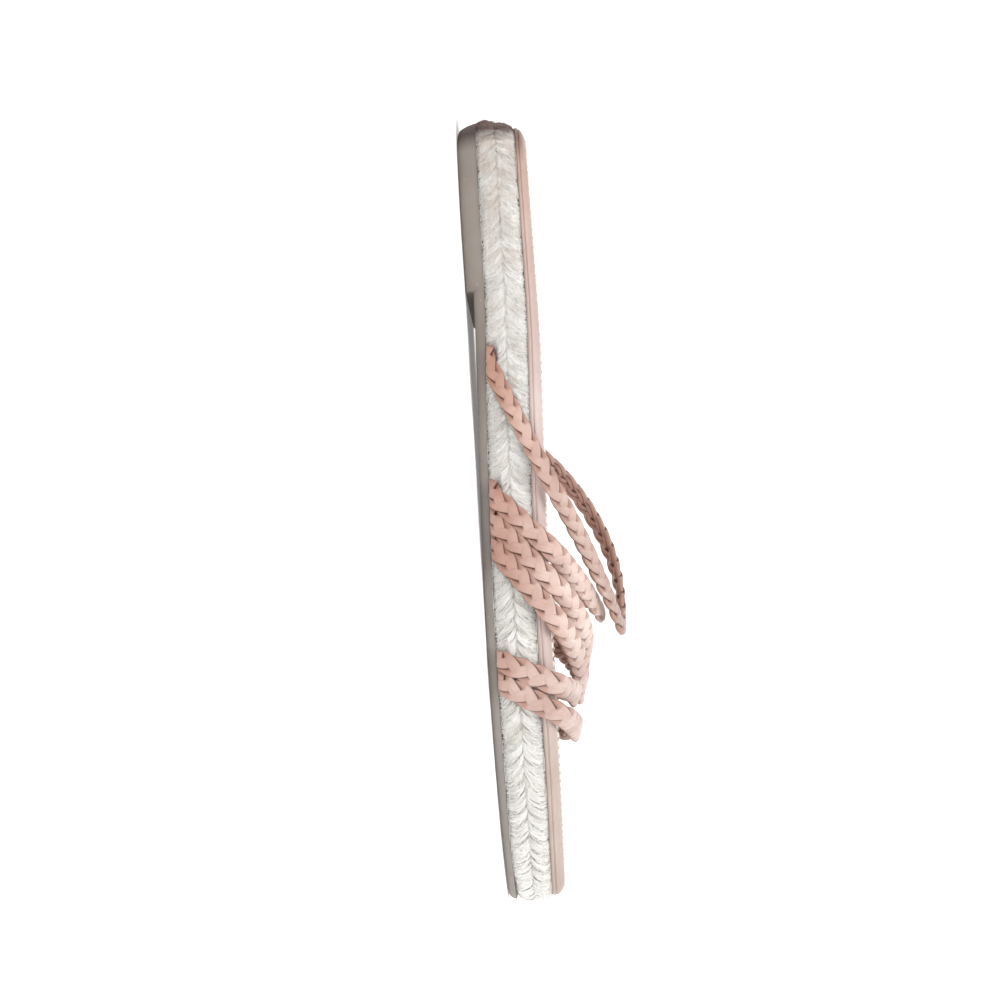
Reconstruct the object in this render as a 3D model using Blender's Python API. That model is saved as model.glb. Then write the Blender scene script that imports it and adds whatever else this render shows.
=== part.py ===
# A flat slide sandal for the right foot: rubber outsole, rope-wrapped midsole, leather insole
# and six three-strand braids over the foot. It stands on its sole with the straps slack.
# Sizes are in millimetres. A station is the distance from the heel end along the sole,
# +Y is the inner (big toe) side, -Y the outer side, and +Z is up.

from collections import namedtuple

import bmesh
import bpy
import numpy as np

MM = 0.001
GAP = 0.3                  # clearance between pieces that meet
SOLE_LENGTH = 250.0
SOLE_STATIONS = 30         # steps from heel to toe along each side of the sole

# Half widths of the midsole, seen from above
OutlineRow = namedtuple("OutlineRow", "station outer inner")
OUTLINE = [
    OutlineRow(2, -8.8, 12.8),
    OutlineRow(8, -18.0, 22.0),
    OutlineRow(26, -27.2, 31.6),
    OutlineRow(66, -29.2, 28.4),
    OutlineRow(100, -33.0, 23.6),
    OutlineRow(123, -36.0, 25.6),
    OutlineRow(141, -39.0, 31.5),
    OutlineRow(158, -42.5, 39.0),
    OutlineRow(172, -44.3, 44.2),
    OutlineRow(194, -40.8, 43.9),
    OutlineRow(217, -32.0, 38.5),
    OutlineRow(229, -24.6, 32.8),
    OutlineRow(242, -11.7, 22.0),
    OutlineRow(247.5, -4.0, 15.5),
]
HEEL_TIP_Y = 2.0
TOE_TIP_Y = 6.0

# Height of the outsole's underside above the floor, and the thickness of each layer
StackRow = namedtuple("StackRow", "station underside outsole midsole insole")
STACK = [
    StackRow(0, 2.7, 3.6, 11.6, 3.3),
    StackRow(57, 2.5, 3.6, 11.9, 3.7),
    StackRow(85, 1.8, 3.1, 12.4, 4.1),
    StackRow(110, 1.0, 2.9, 12.4, 4.2),
    StackRow(135, 0.3, 2.9, 12.2, 4.3),
    StackRow(155, 0.0, 2.9, 12.0, 4.4),
    StackRow(205, 0.0, 2.8, 11.7, 4.5),
    StackRow(250, 0.2, 2.5, 11.0, 4.3),
]

# Side of each layer: height as a share of its thickness, and distance outside the outline
SideRow = namedtuple("SideRow", "height outset")
OUTSOLE_SIDE = [
    SideRow(0.0, -4.0),
    SideRow(0.35, -2.6),
    SideRow(1.0, -2.0),
]
MIDSOLE_SIDE = [
    SideRow(0.0, -3.0),
    SideRow(0.07, -1.1),
    SideRow(0.25, 0.0),
    SideRow(0.42, -0.6),
    SideRow(0.5, -1.8),
    SideRow(0.58, -0.6),
    SideRow(0.75, 0.0),
    SideRow(0.93, -1.1),
    SideRow(1.0, -3.0),
]
INSOLE_SIDE = [
    SideRow(0.0, -3.0),
    SideRow(0.15, -2.0),
    SideRow(0.4, -1.8),
    SideRow(0.65, -2.4),
    SideRow(0.85, -3.6),
    SideRow(1.0, -5.8),
]
LIFT_SIDE = [
    SideRow(0.0, -5.6),
    SideRow(0.3, -4.2),
    SideRow(1.0, -2.4),
]

# How much further out a layer reaches at the two tips of the sole, at its bottom and its top
ReachRow = namedtuple("ReachRow", "heel_low heel_high toe_low toe_high")
OUTSOLE_REACH = ReachRow(1.6, 1.6, 1.9, 1.9)
MIDSOLE_REACH = ReachRow(0.6, -1.8, -0.3, 0.1)
INSOLE_REACH = ReachRow(-1.6, -3.0, 1.4, 0.6)
LIFT_REACH = ReachRow(0.6, 0.6, 0.0, 0.0)
TIP_LENGTH = 20.0

LIFT_BREAST_OUTER = 57.0   # station of the lift's front edge on each side
LIFT_BREAST_INNER = 64.0
LIFT_OVERLAP = 1.2         # how far the lift reaches up into the outsole
LIFT_STATIONS = 14

# One row a strap, and the piece that its braid belongs to. Stations where it leaves the sole's
# side, crosses the rim and turns over at its crown; a bow is how far an arm rises and bulges
# over a straight line from rim to crown.
StrapRow = namedtuple(
    "StrapRow",
    "name piece outer_tuck outer_rim outer_bow crown crown_height"
    " inner_bow inner_rim inner_tuck roundness width",
)
STRAPS = [
    StrapRow("arch", "arch_strap", 79.5, 113, 1.0, 164.7, 42.0, 6.8, 108.2, 93.2, 0.14, 0.85),
    StrapRow("instep_rear", "upper", 119.2, 135.4, 0.5, 159.2, 35.8, 1.5, 147.2, 139.2, 0.16, 1.0),
    StrapRow("instep_mid", "upper", 127.1, 145.1, 3.4, 174.7, 29.6, 3.4, 162, 146.2, 0.25, 1.0),
    StrapRow("instep_front", "upper", 134.7, 155.1, 2.7, 185, 27.3, 2.7, 172, 157.2, 0.25, 1.0),
    StrapRow("toe_rear", "upper", 168.3, 175.8, 1.8, 185.1, 25.4, 1.8, 188, 186.2, 0.3, 1.05),
    StrapRow("toe_front", "upper", 174.6, 184.2, 1.2, 196.3, 25.3, 1.2, 201, 196.2, 0.3, 1.05),
]
RIM_CLEARANCE = 2.4        # how far above the insole a strap turns inwards
BULGE_PER_BOW = 0.5
TUCK_DEPTH = 4.6           # how far a strap's end runs into the midsole
TUCK_LENGTH = 8.0
TUCK_HEIGHT = 2.1          # height of the tucked end above the outsole
WALL_HEIGHT = 2.2          # the same where the strap comes out
TUCK_TAPER = 10.0          # length over which a tucked end widens to the full strap
TUCK_NARROWEST = 0.5
SLOT_STEP = 2.0
SLOT_GAP = 0.6             # clearance of a slot round the strap in it
WALL_STEPS = 24            # points along a wall and along an arm, before even spacing
ARM_STEPS = 60
PATH_STEP = 0.5
PATH_SMOOTHING = 4.0

# A braid: strands swing across the strap and pass over and under each other
STRAND_SWING = 1.8
STRAND_LIFT = 0.5
STRAND_HALF_WIDTH = 1.4
STRAND_HALF_THICKNESS = 0.8
BRAID_PERIOD = 17.7
STEPS_PER_PERIOD = 9
STRANDS = 3
STRAND_EDGE = 0.98         # share of the half width where a strand's face ends in its edge
BRAID_HALF_WIDTH = STRAND_SWING + STRAND_HALF_WIDTH
BRAID_HALF_THICKNESS = STRAND_LIFT + STRAND_HALF_THICKNESS

# Gathered elastic ends and the sleeves that join them to the braid, on the inner side
ElasticRow = namedtuple("ElasticRow", "strap prefix elastic_length sleeve_length")
ELASTICS = [
    ElasticRow("arch", "arch", 14.5, 9.0),
    ElasticRow("instep_rear", "instep", 29.0, 9.0),
]
ELASTIC_HALF_WIDTH = 2.7
ELASTIC_HALF_THICKNESS = 1.0
ELASTIC_RIB = 0.25
ELASTIC_STEP = 1.2
SLEEVE_HALF_WIDTH = 3.3
SLEEVE_HALF_THICKNESS = 1.3
SLEEVE_END_SHARE = 0.86
SLEEVE_EDGE = 1.0

RUBBER = (0.30, 0.26, 0.23, 1)
ROPE = (0.69, 0.66, 0.57, 1)
LEATHER = (0.62, 0.37, 0.29, 1)
LEATHER_EDGE = (0.70, 0.50, 0.43, 1)


def clear_scene():
    for item in list(bpy.data.objects):
        bpy.data.objects.remove(item)


def make_material(name, colour, roughness):
    material = bpy.data.materials.new(name)
    material.use_nodes = True
    shader = material.node_tree.nodes["Principled BSDF"]
    shader.inputs["Base Color"].default_value = colour
    shader.inputs["Roughness"].default_value = roughness
    return material


def make_object(name, points, faces, material):
    mesh = bpy.data.meshes.new(name)
    mesh.from_pydata([tuple(MM * np.asarray(p)) for p in points], [], faces)
    solid = bmesh.new()
    solid.from_mesh(mesh)
    bmesh.ops.recalc_face_normals(solid, faces=solid.faces)
    solid.to_mesh(mesh)
    solid.free()
    mesh.materials.append(material)
    made = bpy.data.objects.new(name, mesh)
    bpy.context.scene.collection.objects.link(made)
    return made


def use_boolean(target, operation, other):
    modifier = target.modifiers.new(operation.lower() + "_" + other.name, "BOOLEAN")
    modifier.operation = operation
    modifier.solver = "EXACT"
    modifier.object = other
    other.hide_render = True
    other.display_type = "WIRE"


def column(rows, name):
    return np.array([getattr(row, name) for row in rows], float)


# Steady interpolation of a table column: level between equal values, no overshoot
def table_value(rows, name, stations):
    at = column(rows, "station")
    value = column(rows, name)
    rise = np.diff(value) / np.diff(at)
    slope = np.zeros_like(value)
    same_way = rise[:-1] * rise[1:] > 0
    slope[1:-1][same_way] = 2 * (rise[:-1] * rise[1:])[same_way] / (rise[:-1] + rise[1:])[same_way]
    slope[0] = rise[0]
    slope[-1] = rise[-1]
    stations = np.clip(stations, at[0], at[-1])
    i = np.clip(np.searchsorted(at, stations) - 1, 0, len(at) - 2)
    span = at[i + 1] - at[i]
    t = (stations - at[i]) / span
    start = value[i] * (1 + 2 * t) * (1 - t) ** 2 + slope[i] * span * t * (1 - t) ** 2
    end = value[i + 1] * t * t * (3 - 2 * t) + slope[i + 1] * span * t * t * (t - 1)
    return start + end


# Heights of the surfaces between the layers
def underside(stations):
    return table_value(STACK, "underside", stations)


def outsole_top(stations):
    return underside(stations) + table_value(STACK, "outsole", stations)


def midsole_bottom(stations):
    return outsole_top(stations) + GAP


def midsole_top(stations):
    return outsole_top(stations) + table_value(STACK, "midsole", stations)


def insole_bottom(stations):
    return midsole_top(stations) + GAP


def insole_top(stations):
    return midsole_top(stations) + table_value(STACK, "insole", stations)


# The closed outline as a smooth curve, split into its inner and outer side.
# Each side is a list of rows (station, y, normal along the sole, normal across).
def trace_outline(steps=24):
    inner = [(row.station, row.inner) for row in OUTLINE]
    outer = [(row.station, row.outer) for row in reversed(OUTLINE)]
    knots = np.array([(0, HEEL_TIP_Y)] + inner + [(SOLE_LENGTH, TOE_TIP_Y)] + outer, float)
    following = np.roll(knots, -1, axis=0)
    chord = np.linalg.norm(following - knots, axis=1)[:, None]
    before = np.roll(chord, 1, axis=0)
    slope_after = (following - knots) / chord
    slope_before = np.roll(slope_after, 1, axis=0)
    slope = (slope_before * chord + slope_after * before) / (chord + before)
    t = np.linspace(0, 1, steps, endpoint=False)[None, :, None]
    p, q = knots[:, None], following[:, None]
    m, n = (slope * chord)[:, None], (np.roll(slope, -1, axis=0) * chord)[:, None]
    curve = (p * (1 + 2 * t) * (1 - t) ** 2 + m * t * (1 - t) ** 2
             + q * t * t * (3 - 2 * t) + n * t * t * (t - 1)).reshape(-1, 2)
    along = np.roll(curve, -1, axis=0) - np.roll(curve, 1, axis=0)
    along /= np.linalg.norm(along, axis=1)[:, None]
    rows = np.column_stack([curve, along[:, 1], -along[:, 0]])
    rows[:, 2:] *= np.sign(np.sum(rows[:, 2:] * (curve - curve.mean(axis=0)), axis=1).mean())
    rows = np.roll(rows, -int(np.argmin(rows[:, 0])), axis=0)
    toe = int(np.argmax(rows[:, 0]))
    inner_side = rows[:toe + 1]
    outer_side = np.vstack([rows[:1], rows[:toe - 1:-1]])
    return {1: inner_side, -1: outer_side}


SIDES = trace_outline()


# Points beside the sole at given stations: side is 1 for inner, -1 for outer
def side_points(side, stations, outset):
    rows = SIDES[side]
    y, normal_x, normal_y = (np.interp(stations, rows[:, 0], rows[:, i]) for i in (1, 2, 3))
    length = np.hypot(normal_x, normal_y)
    normal = np.column_stack([normal_x / length, normal_y / length])
    return np.column_stack([stations, y]) + np.reshape(outset, (-1, 1)) * normal, normal


def tip_reach(stations, reach, share):
    near_heel = np.clip(1 - stations / TIP_LENGTH, 0, 1) ** 2
    near_toe = np.clip(1 - (SOLE_LENGTH - stations) / TIP_LENGTH, 0, 1) ** 2
    heel = reach.heel_low + share * (reach.heel_high - reach.heel_low)
    toe = reach.toe_low + share * (reach.toe_high - reach.toe_low)
    return heel * near_heel + toe * near_toe


# A ring of the sole: heel tip, inner side to the toe, outer side back to the heel
def sole_ring(row, reach, height):
    turn = np.linspace(0, np.pi, SOLE_STATIONS + 1)
    stations = SOLE_LENGTH * (1 - np.cos(turn)) / 2
    outsets = row.outset + tip_reach(stations, reach, row.height)
    inner, _ = side_points(1, stations, outsets)
    outer, _ = side_points(-1, stations[1:-1], outsets[1:-1])
    plan = np.vstack([inner, outer[::-1]])
    return np.column_stack([plan, height(plan[:, 0])])


# A ring of the heel lift: heel tip, inner side to its breast, outer side back
def lift_ring(row, reach, height):
    share = 1 - np.cos(np.linspace(0, np.pi / 2, LIFT_STATIONS + 1))
    inner_stations = share * LIFT_BREAST_INNER
    outer_stations = share[1:] * LIFT_BREAST_OUTER
    inner_outsets = row.outset + tip_reach(inner_stations, reach, row.height)
    outer_outsets = row.outset + tip_reach(outer_stations, reach, row.height)
    inner, _ = side_points(1, inner_stations, inner_outsets)
    outer, _ = side_points(-1, outer_stations, outer_outsets)
    plan = np.vstack([inner, outer[::-1]])
    return np.column_stack([plan, height(plan[:, 0])])


# Faces of a stack of rings, with caps made of strips across the sole
def ring_faces(ring_count, size):
    faces = []
    for level in range(ring_count - 1):
        for i in range(size):
            j = (i + 1) % size
            low, high = level * size, (level + 1) * size
            faces.append((low + i, low + j, high + j, high + i))
    for base in (0, (ring_count - 1) * size):
        for i in range(size // 2):
            corners = dict.fromkeys([i, i + 1, (size - i - 1) % size, (size - i) % size])
            faces.append(tuple(base + corner for corner in corners))
    return faces


def make_layer(name, ring, side, reach, bottom, top, material):
    rings = []
    for row in side:
        def height(stations, share=row.height):
            return bottom(stations) + share * (top(stations) - bottom(stations))
        rings.append(ring(row, reach, height))
    return make_object(name, np.vstack(rings), ring_faces(len(rings), len(rings[0])), material)


# The tucked end and the climb up the wall of one strap arm, from inside the midsole to just
# above the rim. Returns path points and the direction that the strap's outer face looks in.
def wall_path(side, tuck, rim):
    low = midsole_bottom(tuck) + WALL_HEIGHT
    climb = insole_top(rim) - low
    run = rim - tuck
    share = np.linspace(0, 1 + RIM_CLEARANCE / climb, WALL_STEPS)
    plan, normal = side_points(side, tuck + run * share, GAP + BRAID_HALF_THICKNESS)
    wall = np.column_stack([plan, low + climb * share])
    inside = tuck - TUCK_LENGTH * run / np.hypot(run, climb)
    start, _ = side_points(side, np.array([inside]), -TUCK_DEPTH)
    tucked = np.array([[*start[0], midsole_bottom(inside) + TUCK_HEIGHT]])
    facing = np.column_stack([normal, np.zeros(len(normal))])
    return np.vstack([tucked, wall]), np.vstack([facing[:1], facing])


# One arm of a strap from its rim (share 1) to just short of its crown (share 0)
def arm_path(side, row, rim_point, bow):
    share = np.linspace(1, 0, ARM_STEPS, endpoint=False)[1:]
    soft = row.roundness
    fall = (np.hypot(share, soft) - soft) / (np.hypot(1, soft) - soft)
    crown = crown_point(row)
    bump = 4 * fall * (1 - fall) * bow
    points = np.column_stack([
        crown[0] + (rim_point[0] - crown[0]) * fall,
        crown[1] + (rim_point[1] - crown[1]) * share + side * BULGE_PER_BOW * bump,
        crown[2] + (rim_point[2] - crown[2]) * fall + bump,
    ])
    facing = np.column_stack([
        np.zeros(len(share)),
        points[:, 1] - crown[1],
        points[:, 2] - insole_top(points[:, 0]),
    ])
    return points, facing / np.linalg.norm(facing, axis=1)[:, None]


def crown_point(row):
    inner, _ = side_points(1, np.array([row.crown]), 0)
    outer, _ = side_points(-1, np.array([row.crown]), 0)
    return np.array([row.crown, (inner[0, 1] + outer[0, 1]) / 2, row.crown_height])


def arc_lengths(points):
    return np.concatenate([[0], np.cumsum(np.linalg.norm(np.diff(points, axis=0), axis=1))])


def resample(points, lengths, at):
    return np.column_stack([np.interp(at, lengths, points[:, i]) for i in range(points.shape[1])])


# Rounds the corners of a path, keeping its two ends
def smooth(values, reach):
    kernel = np.bartlett(2 * reach + 3)[1:-1]
    kernel /= kernel.sum()
    head = 2 * values[0] - values[reach:0:-1]
    tail = 2 * values[-1] - values[-2:-reach - 2:-1]
    padded = np.vstack([head, values, tail])
    return np.column_stack([np.convolve(padded[:, i], kernel, "valid") for i in range(values.shape[1])])


# The centre line of a whole strap from the outer to the inner side, in even steps
def strap_path(row):
    outer_wall, outer_facing = wall_path(-1, row.outer_tuck, row.outer_rim)
    inner_wall, inner_facing = wall_path(1, row.inner_tuck, row.inner_rim)
    outer_arm, outer_look = arm_path(-1, row, outer_wall[-1], row.outer_bow)
    inner_arm, inner_look = arm_path(1, row, inner_wall[-1], row.inner_bow)
    crown = crown_point(row)[None]
    up = np.array([[0, 0, 1.0]])
    points = np.vstack([outer_wall, outer_arm, crown, inner_arm[::-1], inner_wall[::-1]])
    facing = np.vstack([outer_facing, outer_look, up, inner_look[::-1], inner_facing[::-1]])
    lengths = arc_lengths(points)
    even = np.linspace(0, lengths[-1], int(lengths[-1] / PATH_STEP))
    reach = int(PATH_SMOOTHING / PATH_STEP)
    return smooth(resample(points, lengths, even), reach), smooth(resample(facing, lengths, even), reach)


# Sweeps a section along part of a path. section(u) gives (across, out) rows at arc length u.
def sweep(path, start, end, step, section):
    points, facing = path
    lengths = arc_lengths(points)
    count = max(2, int(round((end - start) / step)) + 1)
    at = np.linspace(start, end, count)
    centre = resample(points, lengths, at)
    along = resample(np.gradient(points, axis=0), lengths, at)
    along /= np.linalg.norm(along, axis=1)[:, None]
    out = resample(facing, lengths, at)
    out -= along * np.sum(out * along, axis=1)[:, None]
    out /= np.linalg.norm(out, axis=1)[:, None]
    across = np.cross(along, out)
    rings = []
    for i, u in enumerate(at):
        offsets = section(u)
        rings.append(centre[i] + offsets[:, :1] * across[i] + offsets[:, 1:] * out[i])
    size = len(rings[0])
    faces = []
    for level in range(count - 1):
        low, high = level * size, (level + 1) * size
        for i in range(size):
            j = (i + 1) % size
            faces.append((low + i, low + j, high + j, high + i))
    last = (count - 1) * size
    faces.append(tuple(range(size)))
    faces.append(tuple(range(last, last + size)))
    return np.vstack(rings), faces


# A seven-cornered band section from its edges and from the heights of its two faces
def band_section(left, right, top, bottom):
    middle = (left + right) / 2
    near_left, near_right = (left + middle) / 2, (right + middle) / 2
    return np.array([
        (left, 0),
        (near_left, top(near_left)),
        (middle, top(middle)),
        (near_right, top(near_right)),
        (right, 0),
        (near_right, -bottom(near_right)),
        (near_left, -bottom(near_left)),
    ])


def taper(u, ends):
    nearest = min(abs(u - end) for end in ends)
    share = min(1.0, nearest / TUCK_TAPER)
    return TUCK_NARROWEST + (1 - TUCK_NARROWEST) * share


# The braid's section at arc length u: the highest and lowest strand at each point across it
def braid_section(u, ends, width):
    phase = 2 * np.pi * (u / BRAID_PERIOD + np.arange(STRANDS) / STRANDS)
    swing = STRAND_SWING * np.sin(phase)
    lift = -STRAND_LIFT * np.sin(2 * phase)

    def strand_height(across):
        share = np.clip((across - swing) / STRAND_HALF_WIDTH, -STRAND_EDGE, STRAND_EDGE)
        return STRAND_HALF_THICKNESS * np.sqrt(1 - share ** 2)

    def top(across):
        return np.max(lift + strand_height(across))

    def bottom(across):
        return np.max(strand_height(across) - lift)

    left = swing.min() - STRAND_HALF_WIDTH
    right = swing.max() + STRAND_HALF_WIDTH
    return band_section(left, right, top, bottom) * (width * taper(u, ends), 1)


# A plain band, as wide as the strap's end and a clearance, which cuts its slot in the midsole
def slot_section(u, ends, width):
    half_width = BRAID_HALF_WIDTH * width * taper(u, ends) + SLOT_GAP
    half_thickness = BRAID_HALF_THICKNESS + SLOT_GAP

    def flat(across):
        return half_thickness

    return band_section(-half_width, half_width, flat, flat)


def elastic_section(u, ends):
    rib = ELASTIC_RIB * (-1) ** int(round(u / ELASTIC_STEP))
    half_width = (ELASTIC_HALF_WIDTH + rib) * taper(u, ends)

    def ribbed(across):
        return ELASTIC_HALF_THICKNESS + rib

    return band_section(-half_width, half_width, ribbed, ribbed)


def sleeve_section(u, start, end):
    inside = min(u - start, end - u)
    share = SLEEVE_END_SHARE if inside < SLEEVE_EDGE / 2 else 1.0

    def flat(across):
        return SLEEVE_HALF_THICKNESS * share

    return band_section(-SLEEVE_HALF_WIDTH * share, SLEEVE_HALF_WIDTH * share, flat, flat)


# One braid and its slots, and where the strap ends in elastic its sleeve and elastic too
def make_strap(row, midsole, leather, solids):
    path = strap_path(row)
    total = arc_lengths(path[0])[-1]
    ends = (0, total)
    braid_end = total - SLOT_GAP
    for elastic in ELASTICS:
        if elastic.strap != row.name:
            continue
        elastic_start = total - elastic.elastic_length
        sleeve_end = elastic_start - GAP
        sleeve_start = sleeve_end - elastic.sleeve_length
        braid_end = sleeve_start - GAP
        points, faces = sweep(
            path, elastic_start, total - SLOT_GAP, ELASTIC_STEP,
            lambda u: elastic_section(u, ends),
        )
        solids.append(make_object(elastic.prefix + "_elastic", points, faces, leather))
        points, faces = sweep(
            path, sleeve_start, sleeve_end, SLEEVE_EDGE,
            lambda u: sleeve_section(u, sleeve_start, sleeve_end),
        )
        solids.append(make_object(elastic.prefix + "_sleeve", points, faces, leather))
    step = BRAID_PERIOD / STEPS_PER_PERIOD
    points, faces = sweep(path, SLOT_GAP, braid_end, step, lambda u: braid_section(u, ends, row.width))
    braid = make_object(row.name + "_braid", points, faces, leather)
    slot_length = TUCK_LENGTH + TUCK_TAPER
    cutters = []
    for label, start, end in (("outer", 0, slot_length), ("inner", total - slot_length, total)):
        points, faces = sweep(path, start, end, SLOT_STEP, lambda u: slot_section(u, ends, row.width))
        cutter = make_object(row.name + "_slot_" + label, points, faces, leather)
        use_boolean(midsole, "DIFFERENCE", cutter)
        cutters.append(cutter)
    return braid, cutters


def build():
    clear_scene()
    rubber = make_material("rubber", RUBBER, 0.6)
    rope = make_material("rope", ROPE, 0.9)
    leather = make_material("leather", LEATHER, 0.5)
    insole_leather = make_material("insole_leather", LEATHER_EDGE, 0.5)

    outsole = make_layer(
        "outsole", sole_ring, OUTSOLE_SIDE, OUTSOLE_REACH, underside, outsole_top, rubber,
    )
    midsole = make_layer(
        "midsole", sole_ring, MIDSOLE_SIDE, MIDSOLE_REACH, midsole_bottom, midsole_top, rope,
    )
    insole = make_layer(
        "insole", sole_ring, INSOLE_SIDE, INSOLE_REACH, insole_bottom, insole_top, insole_leather,
    )
    lift = make_layer(
        "heel_lift", lift_ring, LIFT_SIDE, LIFT_REACH,
        lambda stations: 0 * stations,
        lambda stations: underside(stations) + LIFT_OVERLAP,
        rubber,
    )
    use_boolean(outsole, "UNION", lift)

    solids = [outsole, midsole, insole, lift]
    cutters = []
    pieces = {}
    for row in STRAPS:
        braid, slots = make_strap(row, midsole, leather, solids)
        solids.append(braid)
        cutters += slots
        if row.piece in pieces:
            use_boolean(pieces[row.piece], "UNION", braid)
        else:
            braid.name = row.piece
            pieces[row.piece] = braid

    corners = np.vstack([[vertex.co for vertex in item.data.vertices] for item in solids])
    low, high = corners.min(axis=0), corners.max(axis=0)
    centre = (low + high) / 2
    root = bpy.data.objects.new("sandal", None)
    bpy.context.scene.collection.objects.link(root)
    root.location = (-centre[0], -centre[1], -low[2])
    for item in solids + cutters:
        item.parent = root


build()
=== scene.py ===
# Looks of the braided sandal: plaited leather straps, a rope-wrapped midsole, a leather insole
# and a rubber outsole, on a plain pale floor.
# Sizes are in millimetres. A station is the distance from the heel end along the sole,
# +Y is the inner (big toe) side, -Y the outer side, and +Z is up.

from collections import namedtuple

import bpy
import numpy as np
from mathutils import Matrix, Vector
from mathutils.kdtree import KDTree


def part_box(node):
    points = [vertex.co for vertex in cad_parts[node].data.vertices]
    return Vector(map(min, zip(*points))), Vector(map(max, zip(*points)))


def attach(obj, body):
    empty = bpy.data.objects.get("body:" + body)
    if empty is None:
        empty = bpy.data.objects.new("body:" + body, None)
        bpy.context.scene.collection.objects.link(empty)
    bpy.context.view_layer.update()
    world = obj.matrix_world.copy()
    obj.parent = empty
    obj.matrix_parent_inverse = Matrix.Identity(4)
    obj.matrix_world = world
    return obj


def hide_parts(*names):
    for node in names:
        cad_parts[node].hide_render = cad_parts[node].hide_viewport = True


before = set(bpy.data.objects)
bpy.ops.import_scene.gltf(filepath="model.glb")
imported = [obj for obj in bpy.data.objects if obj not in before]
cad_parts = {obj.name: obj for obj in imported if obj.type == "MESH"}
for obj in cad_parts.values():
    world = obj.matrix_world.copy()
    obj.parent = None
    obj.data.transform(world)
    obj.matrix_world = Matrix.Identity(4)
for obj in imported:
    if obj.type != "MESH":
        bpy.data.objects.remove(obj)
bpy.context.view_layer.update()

MM = 0.001
SEED = 20
GAP = 0.3
SOLE_LENGTH = 250.0


# Rows of a table with named columns
def table(columns, *rows):
    row_type = namedtuple("Row", columns)
    return [row_type(*row) for row in rows]


# Half widths of the midsole, seen from above
OUTLINE = table(
    "station outer inner",
    (2, -8.8, 12.8),
    (8, -18.0, 22.0),
    (26, -27.2, 31.6),
    (66, -29.2, 28.4),
    (100, -33.0, 23.6),
    (123, -36.0, 25.6),
    (141, -39.0, 31.5),
    (158, -42.5, 39.0),
    (172, -44.3, 44.2),
    (194, -40.8, 43.9),
    (217, -32.0, 38.5),
    (229, -24.6, 32.8),
    (242, -11.7, 22.0),
    (247.5, -4.0, 15.5),
)
HEEL_TIP_Y = 2.0
TOE_TIP_Y = 6.0

# Height of the outsole's underside above the floor, and the thickness of each layer
STACK = table(
    "station underside outsole midsole insole",
    (0, 2.7, 3.6, 11.6, 3.3),
    (57, 2.5, 3.6, 11.9, 3.7),
    (85, 1.8, 3.1, 12.4, 4.1),
    (110, 1.0, 2.9, 12.4, 4.2),
    (135, 0.3, 2.9, 12.2, 4.3),
    (155, 0.0, 2.9, 12.0, 4.4),
    (205, 0.0, 2.8, 11.7, 4.5),
    (250, 0.2, 2.5, 11.0, 4.3),
)

# Side of each layer: height as a share of its thickness, and distance outside the outline
OUTSOLE_SIDE = table(
    "height outset",
    (0.0, -5.0), (0.04, -4.0), (0.2, -3.1), (0.5, -2.4), (0.92, -2.05), (1.0, -2.3),
)
LIFT_SIDE = table(
    "height outset",
    (0.0, -6.2), (0.02, -5.3), (0.12, -4.2), (0.36, -3.2), (0.62, -2.55), (0.96, -2.05),
    (1.0, -2.3),
)
CORE_SIDE = table(
    "height outset",
    (0.0, -2.2), (0.07, -1.4), (0.25, -0.7), (0.42, -0.8), (0.5, -1.05), (0.58, -0.8),
    (0.75, -0.7), (0.93, -1.4), (1.0, -2.2),
)
INSOLE_SIDE = table(
    "height outset",
    (0.0, -2.5), (0.06, -2.2), (0.18, -1.9), (0.29, -1.85), (0.36, -2.2), (0.43, -1.85),
    (0.55, -1.95), (0.72, -2.35), (0.84, -2.95), (0.9, -3.4), (0.93, -3.6), (0.99, -4.0),
    (1.05, -5.0), (1.08, -6.4),
)

# How much further out a layer reaches at the two tips of the sole, at its bottom and its top
ReachRow = namedtuple("ReachRow", "heel_low heel_high toe_low toe_high")
OUTSOLE_REACH = ReachRow(1.6, 1.6, 1.9, 1.9)
ROPE_REACH = ReachRow(1.1, -1.8, -0.2, 0.9)
INSOLE_REACH = ReachRow(-0.6, -2.8, 1.4, 0.6)
TIP_LENGTH = 20.0

LIFT_BREAST_OUTER = 57.0
LIFT_BREAST_INNER = 64.0
LIFT_PROUD = 0.05  # how far the lift covers the outsole's side at the heel
LIFT_FADE = 12.0  # length before its breast over which that ends
LIFT_STEPS = 60  # mesh steps along each of its sides
BREAST_STEPS = 24
LIFT_LEVELS = 14
LIFT_CAP_SHARES = (0.5, 0.999)
AROUND_STEP = 1.2  # spacing of mesh points round the sole
RINGS_PER_ROW = 3  # rings of mesh points for each row of a side table
CAP_SHARES = (0.12, 0.3, 0.6, 1.0)  # rings of a cap from the edge to the sole's middle line
SPINE_MARGIN = 26.0

# One row a strap, as in the solids: where it leaves the sole's side, crosses the rim and turns
STRAPS = table(
    "name piece outer_tuck outer_rim outer_bow crown crown_height"
    " inner_bow inner_rim inner_tuck roundness width",
    ("arch", "arch_strap", 79.5, 113, 1.0, 164.7, 42.0, 6.8, 108.2, 93.2, 0.14, 0.85),
    ("instep_rear", "upper", 119.2, 135.4, 0.5, 159.2, 35.8, 1.5, 147.2, 139.2, 0.16, 1.0),
    ("instep_mid", "upper", 127.1, 145.1, 3.4, 174.7, 29.6, 3.4, 162, 146.2, 0.25, 1.0),
    ("instep_front", "upper", 134.7, 155.1, 2.7, 185, 27.3, 2.7, 172, 157.2, 0.25, 1.0),
    ("toe_rear", "upper", 168.3, 175.8, 1.8, 185.1, 25.4, 1.8, 188, 186.2, 0.3, 1.05),
    ("toe_front", "upper", 174.6, 184.2, 1.2, 196.3, 25.3, 1.2, 201, 196.2, 0.3, 1.05),
)
RIM_CLEARANCE = 2.4
BULGE_PER_BOW = 0.5
TUCK_DEPTH = 4.6
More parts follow.
